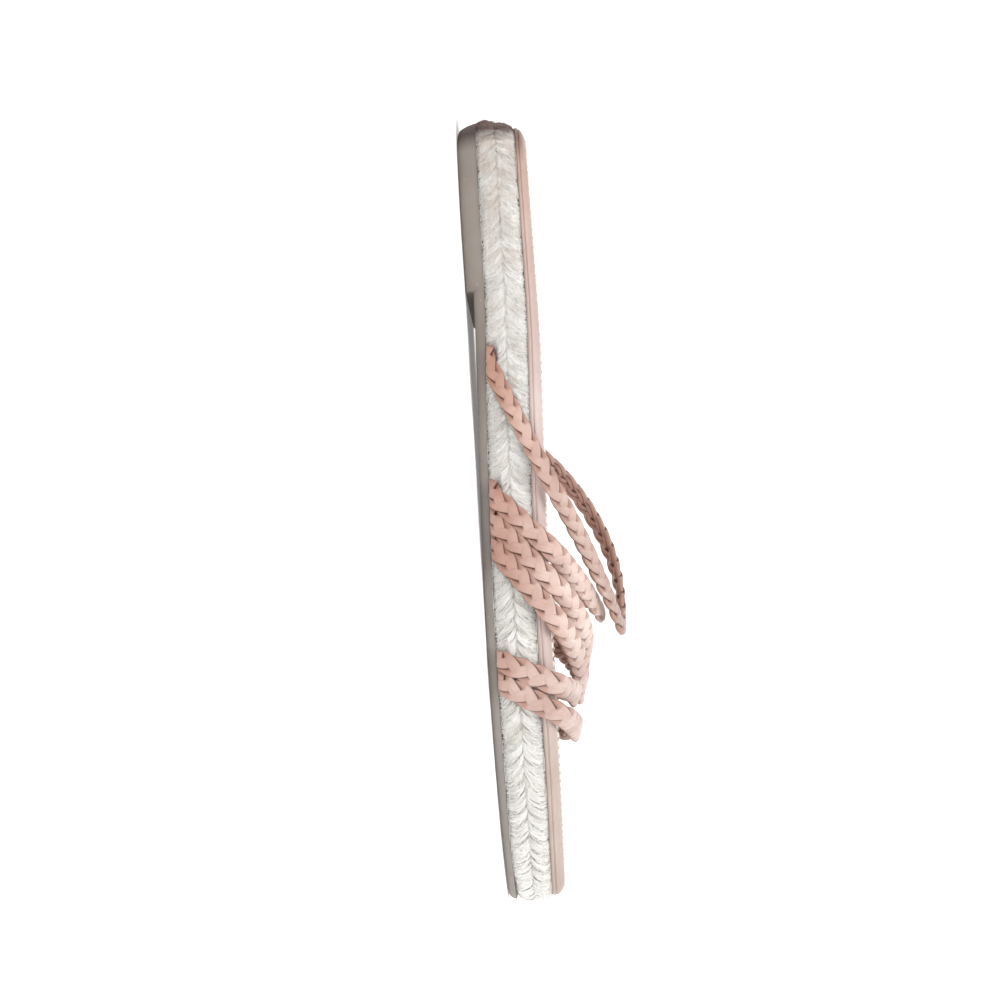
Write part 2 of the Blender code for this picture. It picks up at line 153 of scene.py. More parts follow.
TUCK_LENGTH = 8.0
WALL_HEIGHT = 0.2
TUCK_SLIT = 0.1  # height above the outsole of the slit that the tucked ends come out of
TAPER = (4.0, 14.0)  # a tucked end widens to the full strap between these distances
TUCK_NARROWEST = 0.85
WALL_STEPS = 24
ARM_STEPS = 60
PATH_STEP = 0.5
PATH_SMOOTHING = 4.0
BRAID_HALF_THICKNESS = 1.3

# A plait of flat leather strips
STRANDS = 3
BRAID_PERIOD = 17.7
STRAND_SWING = 1.8
STRAND_LIFT = 0.5
STRAND_HALF_WIDTH = 1.78
STRAND_HALF_THICKNESS = 0.76
STRAND_TILT = 0.25
STRAND_DOME = 0.25  # how much lower the strips lie at the braid's edges
STRAND_CORNERS = 24
STRAND_SQUARENESS = 3.0
STRAND_STEP = 0.5
STRAND_DELAY = 0.32  # how much later than the middle a strip dips under the next, in radians
SWING_WAVE = (0.1, 31.0)  # size and length of the soft waves that make the strips uneven
WIDTH_WAVE = (0.05, 23.0)
THICKNESS_WAVE = (0.08, 13.0)
BRAID_HALF_WIDTH = 4.0  # the strips fold back before they pass this
FOLD_SOFTNESS = 1.4
UNDER_SOON = 0.5  # how dark with painted shade a strip already is where it meets the next level with it
# Seams: dark lines along the strips' edges, the cut edges' own brown with painted shade in the creases
FOLD_EDGE = 3.2  # a strip's edge beyond this is a fold and no seam
SEAM_FADE = 0.15
TRAILING = (-0.3, 0.2)  # the seams fade in over this, from a strip's leading to its trailing edge
FACES_UP = (0.45, 0.8)  # upward share of a strap's outward direction where it turns to face up
SEAM_LESS_ON_TOP = 0.06  # how much weaker the seams are where a strap faces up
STRIP_APART = 7.0  # keeps the streaks of one strip apart from those of the next

# Gathered elastic ends and the sleeves that join them to the braid
ELASTICS = table(
    "strap prefix elastic_length sleeve_length",
    ("arch", "arch", 14.5, 9.0),
    ("instep_rear", "instep", 29.0, 9.0),
)
ELASTIC_HALF_WIDTH = 2.75
ELASTIC_HALF_THICKNESS = 1.0
ELASTIC_RIB = 0.3
ELASTIC_RIB_PITCH = 1.5
ELASTIC_STEP = 0.25
ELASTIC_CORNERS = 24
ELASTIC_SQUARENESS = 4.0
GATHER_SKEW = 0.12  # how far the gathers lean, in ribs
GATHER_WAVE = (0.25, 9.0)
SLEEVE_HALF_WIDTH = 3.3
SLEEVE_HALF_THICKNESS = 1.4
SLEEVE_STEP = 0.4
SLEEVE_CORNERS = 28
SLEEVE_SQUARENESS = 3.2
SLEEVE_END = 0.86  # share of its size at its two ends
SLEEVE_ROUNDING = 0.9  # length over which they are rounded
SLEEVE_DARK_END = 1.2  # length of its darker ends
SLEEVE_DARKNESS = 0.8
SLEEVE_APART = 3.0  # keeps its streaks apart from those of the strips

# Rope wrap: two rows of fibre locks that leave a middle seam and lean towards the toe.
# The locks are felted flat at the heel and stand apart towards the toe.
LOCK_PITCH = 2.1
FIBRES_PER_LOCK = 18
FIBRE_POINTS = 6
FIBRE_SIDES = 3
FIBRE_RADIUS = (0.11, 0.18)
FIBRE_TAPER = 0.35
FIBRE_LENGTH = 0.53  # share of the rope's height
FIBRE_TONE = 0.55
CROWN_TONE = 0.12  # how much paler a fibre is on the crown of its lock, a painted highlight, and darker at its sides
LOCK_LEAN = 4.6
LOCK_BULGE = 0.5
LOCK_JITTER = 1.2
LOCK_REACH = 1.4  # how far fibres stray from a lock's middle, in half pitches
CROWN_REACH = 1.45
LOOSENING = (60.0, 205.0)  # stations where the felted heel ends and the loose toe begins
FELTED_BULGE = 0.35  # share of a lock's bulge at the heel, and what is added towards the toe
LOOSE_BULGE = 0.7
EDGE_REACH = 0.03  # share of the rope's height by which fibres reach past its edges
# The core is a darker copy of the fibres: painted shade in the gaps between the locks
CORE_TONE = 0.3
CORE_EDGE_SHADE = 0.4
SEAM_THREADS = 2
SEAM_STEP = 1.0
SEAM_TWIST = 7.0
SEAM_SIDES = 5
SEAM_RADIUS = 0.22
# Dark tone of the seam threads: painted shade for the valley of the seam
SEAM_TONE = 0.25
SEAM_RISE_WAVE = (0.012, 37.0)
SEAM_LIFT_WAVE = (0.3, 23.0)
HAIR_COUNT = 1100
HAIR_ROWS = (0.0, 0.03, 0.3, 0.5, 0.72, 0.97)  # shares of the rope's height where hairs start
HAIR_RADIUS = 0.07
FUZZ_COUNT = 4600
FUZZ_RADIUS = 0.1
LOOSE_LIFT = 0.45  # how far hairs and fuzz start off the core
LOOSE_RISE = 24.0  # length of a fibre, straight up the side, that would span the rope

# Topstitching along the insole's edge
STITCH_PITCH = 2.9
STITCH_LENGTH = 2.2
STITCH_RADIUS = 0.4
STITCH_OUTSET = -4.6
STITCH_SHARE = 1.04  # its height on the insole's rounded edge
STITCH_POINTS = 6
STITCH_SIDES = 7
STITCH_ARCH = 0.9  # how far a stitch arches up and is sunk in, in radii
STITCH_SUNK = 0.6
STITCH_ENDS = 1.9  # 2 would taper a stitch to nothing at its ends, 0 not at all


# Tables and the shape of the sole

def column(rows, name):
    return np.array([getattr(row, name) for row in rows], float)


# How far a value has come from low to high, from 0 to 1
def share_between(value, low, high):
    return np.clip((value - low) / (high - low), 0, 1)


# Angles once round a circle
def full_turn(count):
    return np.linspace(0, 2 * np.pi, count, endpoint=False)


def unit(vectors):
    return vectors / np.linalg.norm(vectors, axis=-1, keepdims=True)


# The nearest unit vectors that are square to given directions
def square_to(vectors, along):
    return unit(vectors - along * np.sum(vectors * along, axis=-1, keepdims=True))


# The cubic between two values with given slopes, at shares t of the way
def cubic(t, first, last, first_slope, last_slope):
    start = first * (1 + 2 * t) * (1 - t) ** 2 + first_slope * t * (1 - t) ** 2
    end = last * t * t * (3 - 2 * t) + last_slope * t * t * (t - 1)
    return start + end


# Steady interpolation of a table column: level between equal values, no overshoot
def table_value(rows, name, at_values, key="station"):
    at = column(rows, key)
    value = column(rows, name)
    rise = np.diff(value) / np.diff(at)
    before, after = rise[:-1], rise[1:]
    slope = np.zeros_like(value)
    same_way = before * after > 0
    slope[1:-1][same_way] = (2 * before * after)[same_way] / (before + after)[same_way]
    slope[0] = rise[0]
    slope[-1] = rise[-1]
    asked = np.clip(at_values, at[0], at[-1])
    i = np.clip(np.searchsorted(at, asked) - 1, 0, len(at) - 2)
    span = at[i + 1] - at[i]
    t = (asked - at[i]) / span
    return cubic(t, value[i], value[i + 1], slope[i] * span, slope[i + 1] * span)


def underside(stations):
    return table_value(STACK, "underside", stations)


def outsole_top(stations):
    return underside(stations) + table_value(STACK, "outsole", stations)


def midsole_bottom(stations):
    return outsole_top(stations) + GAP


def midsole_top(stations):
    return outsole_top(stations) + table_value(STACK, "midsole", stations)


def insole_bottom(stations):
    return midsole_top(stations) + GAP


def insole_top(stations):
    return midsole_top(stations) + table_value(STACK, "insole", stations)


# The closed outline as a smooth curve: rows (station, y, normal along the sole, normal across),
# from the heel along the inner side to the toe and back along the outer side
def trace_outline(steps=24):
    inner = [(row.station, row.inner) for row in OUTLINE]
    outer = [(row.station, row.outer) for row in reversed(OUTLINE)]
    knots = np.array([(0, HEEL_TIP_Y)] + inner + [(SOLE_LENGTH, TOE_TIP_Y)] + outer, float)
    following = np.roll(knots, -1, axis=0)
    chord = np.linalg.norm(following - knots, axis=1)[:, None]
    before = np.roll(chord, 1, axis=0)
    slope_after = (following - knots) / chord
    slope_before = np.roll(slope_after, 1, axis=0)
    slope = (slope_before * chord + slope_after * before) / (chord + before)
    t = np.linspace(0, 1, steps, endpoint=False)[None, :, None]
    first_slope = (slope * chord)[:, None]
    last_slope = (np.roll(slope, -1, axis=0) * chord)[:, None]
    curve = cubic(t, knots[:, None], following[:, None], first_slope, last_slope).reshape(-1, 2)
    along = unit(np.roll(curve, -1, axis=0) - np.roll(curve, 1, axis=0))
    rows = np.column_stack([curve, along[:, 1], -along[:, 0]])
    rows[:, 2:] *= np.sign(np.sum(rows[:, 2:] * (curve - curve.mean(axis=0)), axis=1).mean())
    return np.roll(rows, -int(np.argmin(rows[:, 0])), axis=0)


ROUND = trace_outline()
TOE_INDEX = int(np.argmax(ROUND[:, 0]))
SIDES = {
    1: ROUND[:TOE_INDEX + 1],
    -1: np.vstack([ROUND[:1], ROUND[:TOE_INDEX - 1:-1]]),
}
ROUND_CLOSED = np.vstack([ROUND, ROUND[:1]])
ROUND_LENGTHS = np.concatenate([[0], np.cumsum(np.hypot(*np.diff(ROUND_CLOSED[:, :2], axis=0).T))])
PERIMETER = ROUND_LENGTHS[-1]

# Shift from sole stations to the frame's own origin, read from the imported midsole
midsole_low, midsole_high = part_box("midsole")
SHIFT = np.array([
    (midsole_low.x + midsole_high.x) / 2 / MM - SOLE_LENGTH / 2,
    (midsole_low.y + midsole_high.y) / 2 / MM - (ROUND[:, 1].max() + ROUND[:, 1].min()) / 2,
    0.0,
])


# Points beside the sole at given stations: side is 1 for inner, -1 for outer
def side_points(side, stations, outset):
    rows = SIDES[side]
    y, normal_x, normal_y = (np.interp(stations, rows[:, 0], rows[:, i]) for i in (1, 2, 3))
    normal = unit(np.column_stack([normal_x, normal_y]))
    return np.column_stack([stations, y]) + np.reshape(outset, (-1, 1)) * normal, normal


# Distance of the sole's middle line from its long axis
def middle_y(stations):
    inner, _ = side_points(1, stations, 0)
    outer, _ = side_points(-1, stations, 0)
    return (inner[:, 1] + outer[:, 1]) / 2


def tip_reach(stations, reach, share):
    near_heel = share_between(stations, TIP_LENGTH, 0) ** 2
    near_toe = share_between(stations, SOLE_LENGTH - TIP_LENGTH, SOLE_LENGTH) ** 2
    heel = reach.heel_low + share * (reach.heel_high - reach.heel_low)
    toe = reach.toe_low + share * (reach.toe_high - reach.toe_low)
    return heel * near_heel + toe * near_toe


# Distances round the sole's outline with an even pitch
def spaced_round(pitch):
    count = int(PERIMETER / pitch)
    return np.arange(count) * PERIMETER / count


# Points round the sole at given distances along its outline, with the outward normals
def round_points(lengths, outset, reach, share):
    wrapped = np.mod(lengths, PERIMETER)
    here = np.stack([np.interp(wrapped, ROUND_LENGTHS, ROUND_CLOSED[:, i]) for i in range(4)], axis=-1)
    normal = unit(here[..., 2:])
    outset = outset + tip_reach(here[..., 0], reach, share)
    return here[..., :2] + outset[..., None] * normal, normal


# Points of a layer over their places in plan, at shares of its thickness
def on_layer(plan, bottom, top, share, lift=0.0):
    low = bottom(plan[..., 0])
    height = low + share * (top(plan[..., 0]) - low) + lift
    return np.concatenate([plan, height[..., None]], axis=-1)


# Mesh helpers

def colour(code):
    channels = np.array([int(code[i:i + 2], 16) for i in (0, 2, 4)]) / 255
    low = channels <= 0.04045
    linear = np.where(low, channels / 12.92, ((channels + 0.055) / 1.055) ** 2.4)
    return (*linear, 1.0)


def add_object(name, data):
    made = bpy.data.objects.new(name, data)
    bpy.context.scene.collection.objects.link(made)
    return made


# A mesh object from points in millimetres and arrays of faces, one array for each face size
def make_piece(name, points, face_groups, material, replaced=(), attributes=None):
    points = (np.asarray(points, float).reshape(-1, 3) + SHIFT) * MM
    mesh = bpy.data.meshes.new(name)
    mesh.vertices.add(len(points))
    mesh.vertices.foreach_set("co", points.astype(np.float32).ravel())
    groups = [np.asarray(group, np.int32) for group in face_groups if len(group)]
    corners = np.concatenate([group.ravel() for group in groups])
    sizes = np.concatenate([np.full(len(group), group.shape[1], np.int32) for group in groups])
    mesh.loops.add(len(corners))
    mesh.loops.foreach_set("vertex_index", corners)
    mesh.polygons.add(len(sizes))
    starts = np.concatenate([[0], np.cumsum(sizes)[:-1]])
    mesh.polygons.foreach_set("loop_start", starts.astype(np.int32))
    mesh.polygons.foreach_set("use_smooth", np.ones(len(sizes), bool))
    mesh.update(calc_edges=True)
    mesh.validate()
    for key, values in (attributes or {}).items():
        flat = np.asarray(values, np.float32)
        kind = "FLOAT_VECTOR" if flat.ndim == 2 else "FLOAT"
        attribute = mesh.attributes.new(key, kind, "POINT")
        attribute.data.foreach_set("vector" if flat.ndim == 2 else "value", flat.ravel())
    mesh.materials.append(material)
    piece = add_object(name, mesh)
    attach(piece, "root")
    for node in replaced:
        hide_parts(node)


# Quads between rings of equal size, ring after ring, closed round each ring
def ring_quads(ring_count, size):
    level = np.arange(ring_count - 1)[:, None] * size
    i = np.arange(size)[None, :]
    j = (i + 1) % size
    return np.stack([level + i, level + j, level + size + j, level + size + i], axis=-1).reshape(-1, 4)


# Faces of a closed tube: the quads between its rings and a cap at each end
def closed_tube(ring_count, size):
    caps = [np.arange(size)[None, ::-1], np.arange(size)[None] + (ring_count - 1) * size]
    return [ring_quads(ring_count, size)] + caps


# Tubes round many centre lines at once: centres (tube, point, 3), radii (tube, point)
def tube_mesh(centres, radii, normals, sides):
    tubes, count, _ = centres.shape
    along = unit(np.gradient(centres, axis=1))
    normals = square_to(normals, along)
    across = np.cross(along, normals)
    turn = full_turn(sides)
    ring = np.cos(turn)[:, None] * normals[:, :, None] + np.sin(turn)[:, None] * across[:, :, None]
    points = centres[:, :, None] + radii[:, :, None, None] * ring
    first = (np.arange(tubes) * count * sides)[:, None, None]
    faces = [(group + first).reshape(-1, group.shape[1]) for group in closed_tube(count, sides)]
    return points.reshape(-1, 3), faces


def arc_lengths(points):
    return np.concatenate([[0], np.cumsum(np.linalg.norm(np.diff(points, axis=0), axis=1))])


def resample(points, lengths, at):
    return np.column_stack([np.interp(at, lengths, points[:, i]) for i in range(points.shape[1])])


# Rounds the corners of a path, keeping its two ends
def smooth(values, reach):
    kernel = np.bartlett(2 * reach + 3)[1:-1]
    kernel /= kernel.sum()
    head = 2 * values[0] - values[reach:0:-1]
    tail = 2 * values[-1] - values[-2:-reach - 2:-1]
    padded = np.vstack([head, values, tail])
    return np.column_stack([np.convolve(padded[:, i], kernel, "valid") for i in range(values.shape[1])])


# A smooth random wave along a path, about as high as its size
def soft_wave(random, at, size, wavelength):
    total = np.zeros_like(at, dtype=float)
    for harmonic in (1.0, 1.7, 2.6):
        shift = random.uniform(0, 2 * np.pi)
        total += np.sin(2 * np.pi * at * harmonic / wavelength + shift) / harmonic
    return size * total / 2


# Strap paths, as in the solids but for their tucked ends, which lie lower

# One side of a strap up to the rim, with its tucked end, which lies on the outsole
def wall_path(side, tuck, rim):
    low = midsole_bottom(tuck) + WALL_HEIGHT
    climb = insole_top(rim) - low
    run = rim - tuck
    share = np.linspace(0, 1 + RIM_CLEARANCE / climb, WALL_STEPS)
    plan, normal = side_points(side, tuck + run * share, GAP + BRAID_HALF_THICKNESS)
    wall = np.column_stack([plan, low + climb * share])
    inside = tuck - TUCK_LENGTH * run / np.hypot(run, climb)
    start, _ = side_points(side, np.array([inside]), -TUCK_DEPTH)
    tucked = np.array([[*start[0], midsole_bottom(inside)]])
    facing = np.column_stack([normal, np.zeros(len(normal))])
    return np.vstack([tucked, wall]), np.vstack([facing[:1], facing])


def crown_point(row):
    return np.array([row.crown, middle_y(np.array([row.crown]))[0], row.crown_height])


def arm_path(side, row, rim_point, bow):
    share = np.linspace(1, 0, ARM_STEPS, endpoint=False)[1:]
    soft = row.roundness
    fall = (np.hypot(share, soft) - soft) / (np.hypot(1, soft) - soft)
    crown = crown_point(row)
    bump = 4 * fall * (1 - fall) * bow
    points = np.column_stack([
        crown[0] + (rim_point[0] - crown[0]) * fall,
        crown[1] + (rim_point[1] - crown[1]) * share + side * BULGE_PER_BOW * bump,
        crown[2] + (rim_point[2] - crown[2]) * fall + bump,
    ])
    facing = np.column_stack([
        np.zeros(len(share)),
        points[:, 1] - crown[1],
        points[:, 2] - insole_top(points[:, 0]),
    ])
    return points, unit(facing)


# The centre line of a whole strap from the outer to the inner side, and its outward directions
def strap_path(row):
    outer_wall, outer_facing = wall_path(-1, row.outer_tuck, row.outer_rim)
    inner_wall, inner_facing = wall_path(1, row.inner_tuck, row.inner_rim)
    outer_arm, outer_look = arm_path(-1, row, outer_wall[-1], row.outer_bow)
    inner_arm, inner_look = arm_path(1, row, inner_wall[-1], row.inner_bow)
    crown = crown_point(row)[None]
    up = np.array([[0, 0, 1.0]])
    points = np.vstack([outer_wall, outer_arm, crown, inner_arm[::-1], inner_wall[::-1]])
    facing = np.vstack([outer_facing, outer_look, up, inner_look[::-1], inner_facing[::-1]])
    lengths = arc_lengths(points)
    even = np.linspace(0, lengths[-1], int(lengths[-1] / PATH_STEP))
    reach = int(PATH_SMOOTHING / PATH_STEP)
    points, facing = (smooth(resample(values, lengths, even), reach) for values in (points, facing))
    return points, facing


# Centre, along, out and across at given arc lengths of a path
def path_frames(path, at):
    points, facing = path
    lengths = arc_lengths(points)
    centre = resample(points, lengths, at)
    along = unit(resample(np.gradient(points, axis=0), lengths, at))
    out = square_to(resample(facing, lengths, at), along)
    return centre, along, out, np.cross(along, out)


PATHS = {row.name: strap_path(row) for row in STRAPS}


def strap_length(name):
    return arc_lengths(PATHS[name][0])[-1]


# A narrowing towards the two tucked ends of a strap
def taper(at, total):
    share = share_between(np.minimum(at, total - at), *TAPER)
    return TUCK_NARROWEST + (1 - TUCK_NARROWEST) * share


# A strap's length, and where its sleeve and its elastic start: at its end if it has none
def strap_spans(name):
    total = strap_length(name)
    for row in ELASTICS:
        if row.strap == name:
            elastic_start = total - row.elastic_length
            sleeve_start = elastic_start - GAP - row.sleeve_length
            return total, sleeve_start, elastic_start
    return total, total, total


# Materials

class Surface:
    """A Principled material and short ways to add nodes to it."""

    def __init__(self, name, roughness, **fixed):
        self.material = bpy.data.materials.new(name)
        self.material.use_nodes = True
        self.tree = self.material.node_tree
        self.shader = self.tree.nodes["Principled BSDF"]
        self.shader.inputs["Roughness"].default_value = roughness
        for key, value in fixed.items():
            self.shader.inputs[key.replace("_", " ")].default_value = value
        self.place = self.tree.nodes.new("ShaderNodeTexCoord").outputs["Object"]

    def node(self, kind, inputs=None, **settings):
        made = self.tree.nodes.new(kind)
        for key, value in settings.items():
            setattr(made, key, value)
        for key, value in (inputs or {}).items():
            self.put(made.inputs[key], value)
        return made

    def put(self, socket, value):
        if isinstance(value, bpy.types.NodeSocket):
            self.tree.links.new(value, socket)
        else:
            socket.default_value = value

    def attribute(self, name, output="Fac"):
        return self.node("ShaderNodeAttribute", attribute_name=name).outputs[output]

    def axis(self, name, place=None):
        return self.node("ShaderNodeSeparateXYZ", {"Vector": place or self.place}).outputs[name]

    def stretched(self, scale, place=None):
        made = self.node("ShaderNodeMapping", {"Vector": place or self.place, "Scale": scale})
        return made.outputs["Vector"]

    def noise(self, scale, detail, place=None):
        inputs = {"Vector": place or self.place, "Scale": scale, "Detail": detail}
        return self.node("ShaderNodeTexNoise", inputs).outputs["Fac"]

    def cells(self, scale):
        made = self.node("ShaderNodeTexVoronoi", {"Vector": self.place, "Scale": scale})
        return made.outputs["Distance"]

    def ramp(self, factor, stops):
        made = self.node("ShaderNodeValToRGB", {"Fac": factor})
        elements = made.color_ramp.elements
        while len(elements) < len(stops):
            elements.new(0.5)
        for element, (position, code) in zip(elements, stops):
            element.position = position
            element.color = colour(code)
        return made.outputs["Color"]

    def spread(self, factor, low, high, to_low=0.0, to_high=1.0):
        made = self.node("ShaderNodeMapRange", {
            "Value": factor, "From Min": low, "From Max": high, "To Min": to_low, "To Max": to_high,
        })
        return made.outputs["Result"]

    def blend(self, factor, first, second, mode="MIX"):
        made = self.node("ShaderNodeMix", data_type="RGBA", blend_type=mode)
        for index, value in ((0, factor), (6, first), (7, second)):
            self.put(made.inputs[index], colour(value) if isinstance(value, str) else value)
        return made.outputs[2]

    # Blends a colour in as a factor goes from low to high
    def tint(self, base, code, factor, low, high, most=1.0, mode="MIX"):
        return self.blend(self.spread(factor, low, high, 0.0, most), base, code, mode)

    def math(self, operation, first, second=0.0):
        made = self.node("ShaderNodeMath", operation=operation)
        self.put(made.inputs[0], first)
        self.put(made.inputs[1], second)
        return made.outputs[0]

    def bump(self, height, distance_mm, strength, normal=None):
        inputs = {"Height": height, "Distance": distance_mm * MM, "Strength": strength}
        if normal is not None:
            inputs["Normal"] = normal
        return self.node("ShaderNodeBump", inputs).outputs["Normal"]

    def finish(self, base, roughness=None, normal=None):
        for key, value in (("Base Color", base), ("Roughness", roughness), ("Normal", normal)):
            if value is not None:
                self.put(self.shader.inputs[key], value)
        return self.material


# Satin leather strips: warm pink, with painted light paler high up and painted shade darker low down,
# brown along their cut edges and darkened with painted shade in the creases between them
def strip_leather():
    look = Surface("strip_leather", 0.45, Coat_Weight=0.2, Coat_Roughness=0.4, Specular_IOR_Level=0.5)
    strip = look.attribute("strip", "Vector")
    soft = look.noise(90, 2)
    # Lit and shaded copies of the leather, tuned along the sole: low carries painted shade, high
    # painted light
    low = look.ramp(soft, [(0.3, "a87e6d"), (0.5, "b2897a"), (0.72, "c09a8b")])
    high = look.ramp(soft, [(0.3, "d5b9ae"), (0.5, "dfc6bc"), (0.72, "e9d6cd")])
    along, height = look.axis("X"), look.axis("Z")
    low = look.tint(low, "f0efef", along, -0.012, 0.002, mode="MULTIPLY")
    high = look.tint(high, "ebecee", along, 0.036, 0.05, mode="MULTIPLY")
    # Painted light: paler higher up and on the toe straps
    painted_light = look.math("MAXIMUM", look.spread(height, 0.009, 0.027),
                      look.spread(along, 0.034, 0.05, 0, 0.5))
    base = look.blend(painted_light, low, high)
    # Painted shade on the high parts that face up to the light
    base = look.tint(base, "e0dfde", height, 0.03, 0.041, mode="MULTIPLY")
    # Painted shade on the arch strap's upper part, which no other strap shades
    arch_painted_shade = look.math("MULTIPLY", look.spread(height, 0.015, 0.024), look.attribute("arch_painted_shade"))
    base = look.blend(arch_painted_shade, base, "ded6d3", "MULTIPLY")
    streak = look.noise(1.0, 4, look.stretched((0.12, 2.2, 1.0), strip))
    base = look.tint(base, "a87663", streak, 0.45, 0.75, 0.3)
    # Painted shade where a strip dips under the next one
    base = look.tint(base, "a06f5c", look.attribute("under"), 0.1, 0.9, 0.5)
    # Dark seams: the cut edges' own brown and painted shade where one strip lies on the next, less
    # where a strap faces up to the light
    base = look.tint(base, "4f281d", look.attribute("edge"), 0.72, 0.92)
    across = look.math("ABSOLUTE", look.axis("Y", strip))
    on_fold = look.spread(across, 0.3, 0.1, 0, 0.85)
    base = look.blend(look.math("MULTIPLY", on_fold, look.attribute("back")), base, "6b4032")
    grain = look.cells(2600)
    creases = look.noise(1.0, 3, look.stretched((1.6, 0.25, 1.0), strip))
    normal = look.bump(creases, 0.12, 0.5)
    normal = look.bump(grain, 0.05, 0.35, normal)
    roughness = look.spread(soft, 0.3, 0.75, 0.52, 0.38)
    return look.finish(base, roughness, normal)


# Smooth covering leather of the insole and its rim, with painted shade towards the heel and on the
# rim's heel end
def cover_leather():
    look = Surface("cover_leather", 0.5, Coat_Weight=0.05, Coat_Roughness=0.4, Specular_IOR_Level=0.4)
    soft = look.noise(45, 3)
    base = look.ramp(soft, [(0.3, "bda8a2"), (0.55, "c8b4af"), (0.75, "d2c1bc")])
    along, height = look.axis("X"), look.axis("Z")
    # Painted shade: browner towards the heel, away from the light
    base = look.tint(base, "ae8e7d", along, -0.03, -0.12, 0.75)
    base = look.tint(base, "ebece6", along, 0.03, 0.08, mode="MULTIPLY")
    base = look.tint(base, "b58b7d", look.noise(400, 5), 0.6, 0.85, 0.3)
    # Painted shade on the rim's heel end, which turns away from the light
    rim_end_painted_shade = look.math("MULTIPLY", look.spread(along, -0.107, -0.116, 0, 0.85),
                        look.spread(height, 0.0213, 0.0197))
    base = look.blend(rim_end_painted_shade, base, "5f382c")
    grain = look.cells(1900)
    wrinkle = look.noise(1.0, 4, look.stretched((420, 420, 110)))
    normal = look.bump(wrinkle, 0.14, 0.35)
    normal = look.bump(grain, 0.06, 0.4, normal)
    roughness = look.spread(soft, 0.3, 0.75, 0.58, 0.42)
    return look.finish(base, roughness, normal)


# Thin leather gathered over elastic, with painted shade in its folds
def gathered_leather():
    look = Surface("gathered_leather", 0.5, Specular_IOR_Level=0.4)
    base = look.ramp(look.noise(300, 3), [(0.3, "c08b7a"), (0.7, "d3a596")])
    # Painted shade in the folds between the gathers
    base = look.tint(base, "8d5a4a", look.attribute("edge"), 0.2, 1.0, 0.8)
    return look.finish(base, None, look.bump(look.cells(2400), 0.05, 0.4))


# Rope fibre: each fibre has its own tone, and the rope is dirtier towards the heel, with painted shade
# at its end, under the straps and along its edges
def rope_fibre(name, shade):
    look = Surface(name, 0.85, Sheen_Weight=0.15, Specular_IOR_Level=0.25)
    tone = look.attribute("tone")
    base = look.ramp(tone, [(0.0, "d7d3ca"), (0.35, "edebe5"), (0.7, "f9f8f5"), (1.0, "ffffff")])
    along = look.axis("X")
    dirty = look.math("MULTIPLY", look.spread(along, -0.06, -0.122, 0.1, 0.7),
                      look.spread(look.noise(120, 4), 0.4, 0.7))
    base = look.blend(dirty, base, "c3aa9b")
    # Painted shade at the heel's end, which turns away from the light
    base = look.tint(base, "5c3a2e", along, -0.1145, -0.1198, 0.9)
    # Painted shade by the given share, for the core seen between the locks
    base = look.blend(shade, base, "8f8371")
    # Painted shade under the straps, in the holes beside their ends and along the rope's two edges
    base = look.blend(look.attribute("painted_shade"), base, "5a3428")
    return look.finish(base, None, look.bump(look.noise(1500, 3), 0.08, 0.5))


# Matt moulded rubber with a fine grain, dust and smudges, paler towards the toe with painted light
# and dark at the heel's end with painted shade
def moulded_rubber():
    look = Surface("moulded_rubber", 0.62, Specular_IOR_Level=0.35)
    soft = look.noise(25, 4)
    base = look.ramp(soft, [(0.3, "837a73"), (0.55, "8e857e"), (0.75, "99918b")])
    along = look.axis("X")
    # Painted light: paler towards the toe
    base = look.tint(base, "9f9995", along, -0.06, 0.06, 0.5)
    base = look.tint(base, "c9c3bc", look.cells(420), 0.12, 0.05, 0.45)
    base = look.tint(base, "6f655f", look.noise(70, 6), 0.58, 0.8, 0.4)
    # Painted shade at the heel's end, which turns away from the light
    base = look.tint(base, "3a2621", along, -0.1125, -0.1185, 0.93)
    grain = look.noise(2200, 2)
    scuff = look.noise(1.0, 5, look.stretched((60, 700, 500)))
    normal = look.bump(grain, 0.04, 0.5)
    normal = look.bump(scuff, 0.08, 0.3, normal)
    roughness = look.spread(soft, 0.3, 0.75, 0.55, 0.72)
    return look.finish(base, roughness, normal)


# Off-white waxed thread
def sewing_thread():
    look = Surface("sewing_thread", 0.7, Specular_IOR_Level=0.3)
    base = look.ramp(look.noise(800, 2), [(0.3, "e6dfd6"), (0.7, "f6f2ec")])
    twist = look.noise(1.0, 2, look.stretched((3000, 3000, 900)))
    return look.finish(base, None, look.bump(twist, 0.06, 0.6))


# The sole's layers

# Rings round the side of a layer, from its bottom to its top
def layer_rings(side, reach, bottom, top, lengths):
    places = np.linspace(0, len(side) - 1, len(side) * RINGS_PER_ROW)
    shares = np.interp(places, np.arange(len(side)), column(side, "height"))
    outsets = table_value(side, "outset", shares, key="height")
    rings = []
    for share, outset in zip(shares, outsets):
        plan, _ = round_points(lengths, outset, reach, share)
        rings.append(on_layer(plan, bottom, top, share))
    return rings


# Points of the sole's middle line at the same stations, kept off its two tips
def spine_of(plan):
    station = np.clip(plan[:, 0], SPINE_MARGIN, SOLE_LENGTH - SPINE_MARGIN)
    return np.column_stack([station, middle_y(station)])


def cap_rings(ring, height):
    rings = []
    for share in CAP_SHARES:
        plan = ring[:, :2] + share * (spine_of(ring) - ring[:, :2])
        rings.append(np.column_stack([plan, height(plan[:, 0])]))
    return rings


# A closed layer of the sole: its side, and caps drawn in towards the sole's middle line
def layer_points(side, reach, bottom, top):
    lengths = spaced_round(AROUND_STEP)
    rings = layer_rings(side, reach, bottom, top, lengths)
    rings = cap_rings(rings[0], bottom)[::-1] + rings + cap_rings(rings[-1], top)
    return np.vstack(rings), [ring_quads(len(rings), len(lengths))]


